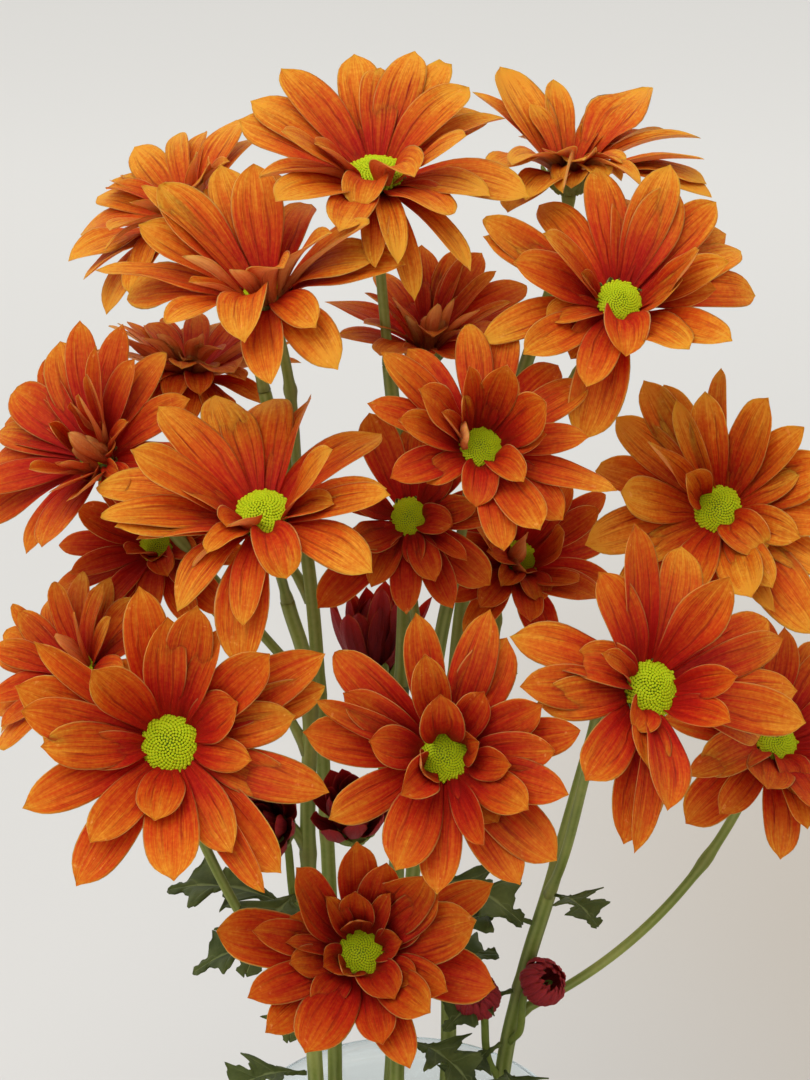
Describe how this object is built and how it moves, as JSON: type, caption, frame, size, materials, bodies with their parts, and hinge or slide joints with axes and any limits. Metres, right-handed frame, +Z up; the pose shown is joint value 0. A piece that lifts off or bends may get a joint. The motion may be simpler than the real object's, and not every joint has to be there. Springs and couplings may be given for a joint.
{
  "type": "chrysanthemums in a jar",
  "caption": "Orange spray chrysanthemums with green centres, stalks, leaves and buds, standing in water in a clear glass jar.",
  "frame": {"origin": "middle of the jar's base", "axes": "+Z up along the jar, -Y towards the front of the bouquet, +X to the right as seen from the front"},
  "size_m": [0.2326, 0.1543, 0.4314],
  "materials": {
    "glass": "clear, smooth, slightly bluish",
    "water": "clear and still",
    "stem": "ridged olive green, slightly downy",
    "leaf": "dark green, veined, slightly downy",
    "petal": "orange with fine lengthwise veins, matte and velvety",
    "dark_petal": "dark maroon red, ribbed"
  },
  "bodies": {
    "root": {"jar": "glass", "water": "water", "stem_left_back": "stem", "stem_left_front": "stem", "stem_middle_back": "stem", "stem_middle_front": "stem", "stem_right_back": "stem", "stem_right_front": "stem", "top_stalk": "stem", "top_petals": "petal", "top_right_stalk": "stem", "top_right_petals": "petal", "upper_right_stalk": "stem", "upper_right_petals": "petal", "upper_left_stalk": "stem", "upper_left_petals": "petal", "back_left_stalk": "stem", "back_left_petals": "petal", "middle_back_stalk": "stem", "middle_back_petals": "petal", "far_left_stalk": "stem", "far_left_petals": "petal", "left_back_stalk": "stem", "left_back_petals": "petal", "left_centre_stalk": "stem", "left_centre_petals": "petal", "centre_stalk": "stem", "centre_petals": "petal", "centre_low_stalk": "stem", "centre_low_petals": "petal", "right_stalk": "stem", "right_petals": "petal", "middle_right_stalk": "stem", "middle_right_petals": "petal", "left_low_stalk": "stem", "left_low_petals": "petal", "far_left_low_stalk": "stem", "far_left_low_petals": "petal", "front_left_stalk": "stem", "front_left_petals": "petal", "front_centre_stalk": "stem", "front_centre_petals": "petal", "front_right_stalk": "stem", "front_right_petals": "petal", "far_right_stalk": "stem", "far_right_petals": "petal", "bottom_stalk": "stem", "bottom_petals": "petal", "half_open_back": "dark_petal", "half_open_left": "dark_petal", "half_open_middle": "dark_petal", "bud_right": "dark_petal", "bud_middle": "dark_petal", "leaf_left_upper": "leaf", "leaf_left_lower": "leaf", "leaf_middle": "leaf", "leaf_middle_pale": "leaf", "leaf_right": "leaf", "leaf_mouth_left": "leaf", "leaf_mouth_right": "leaf"}
  },
  "joints": []
}
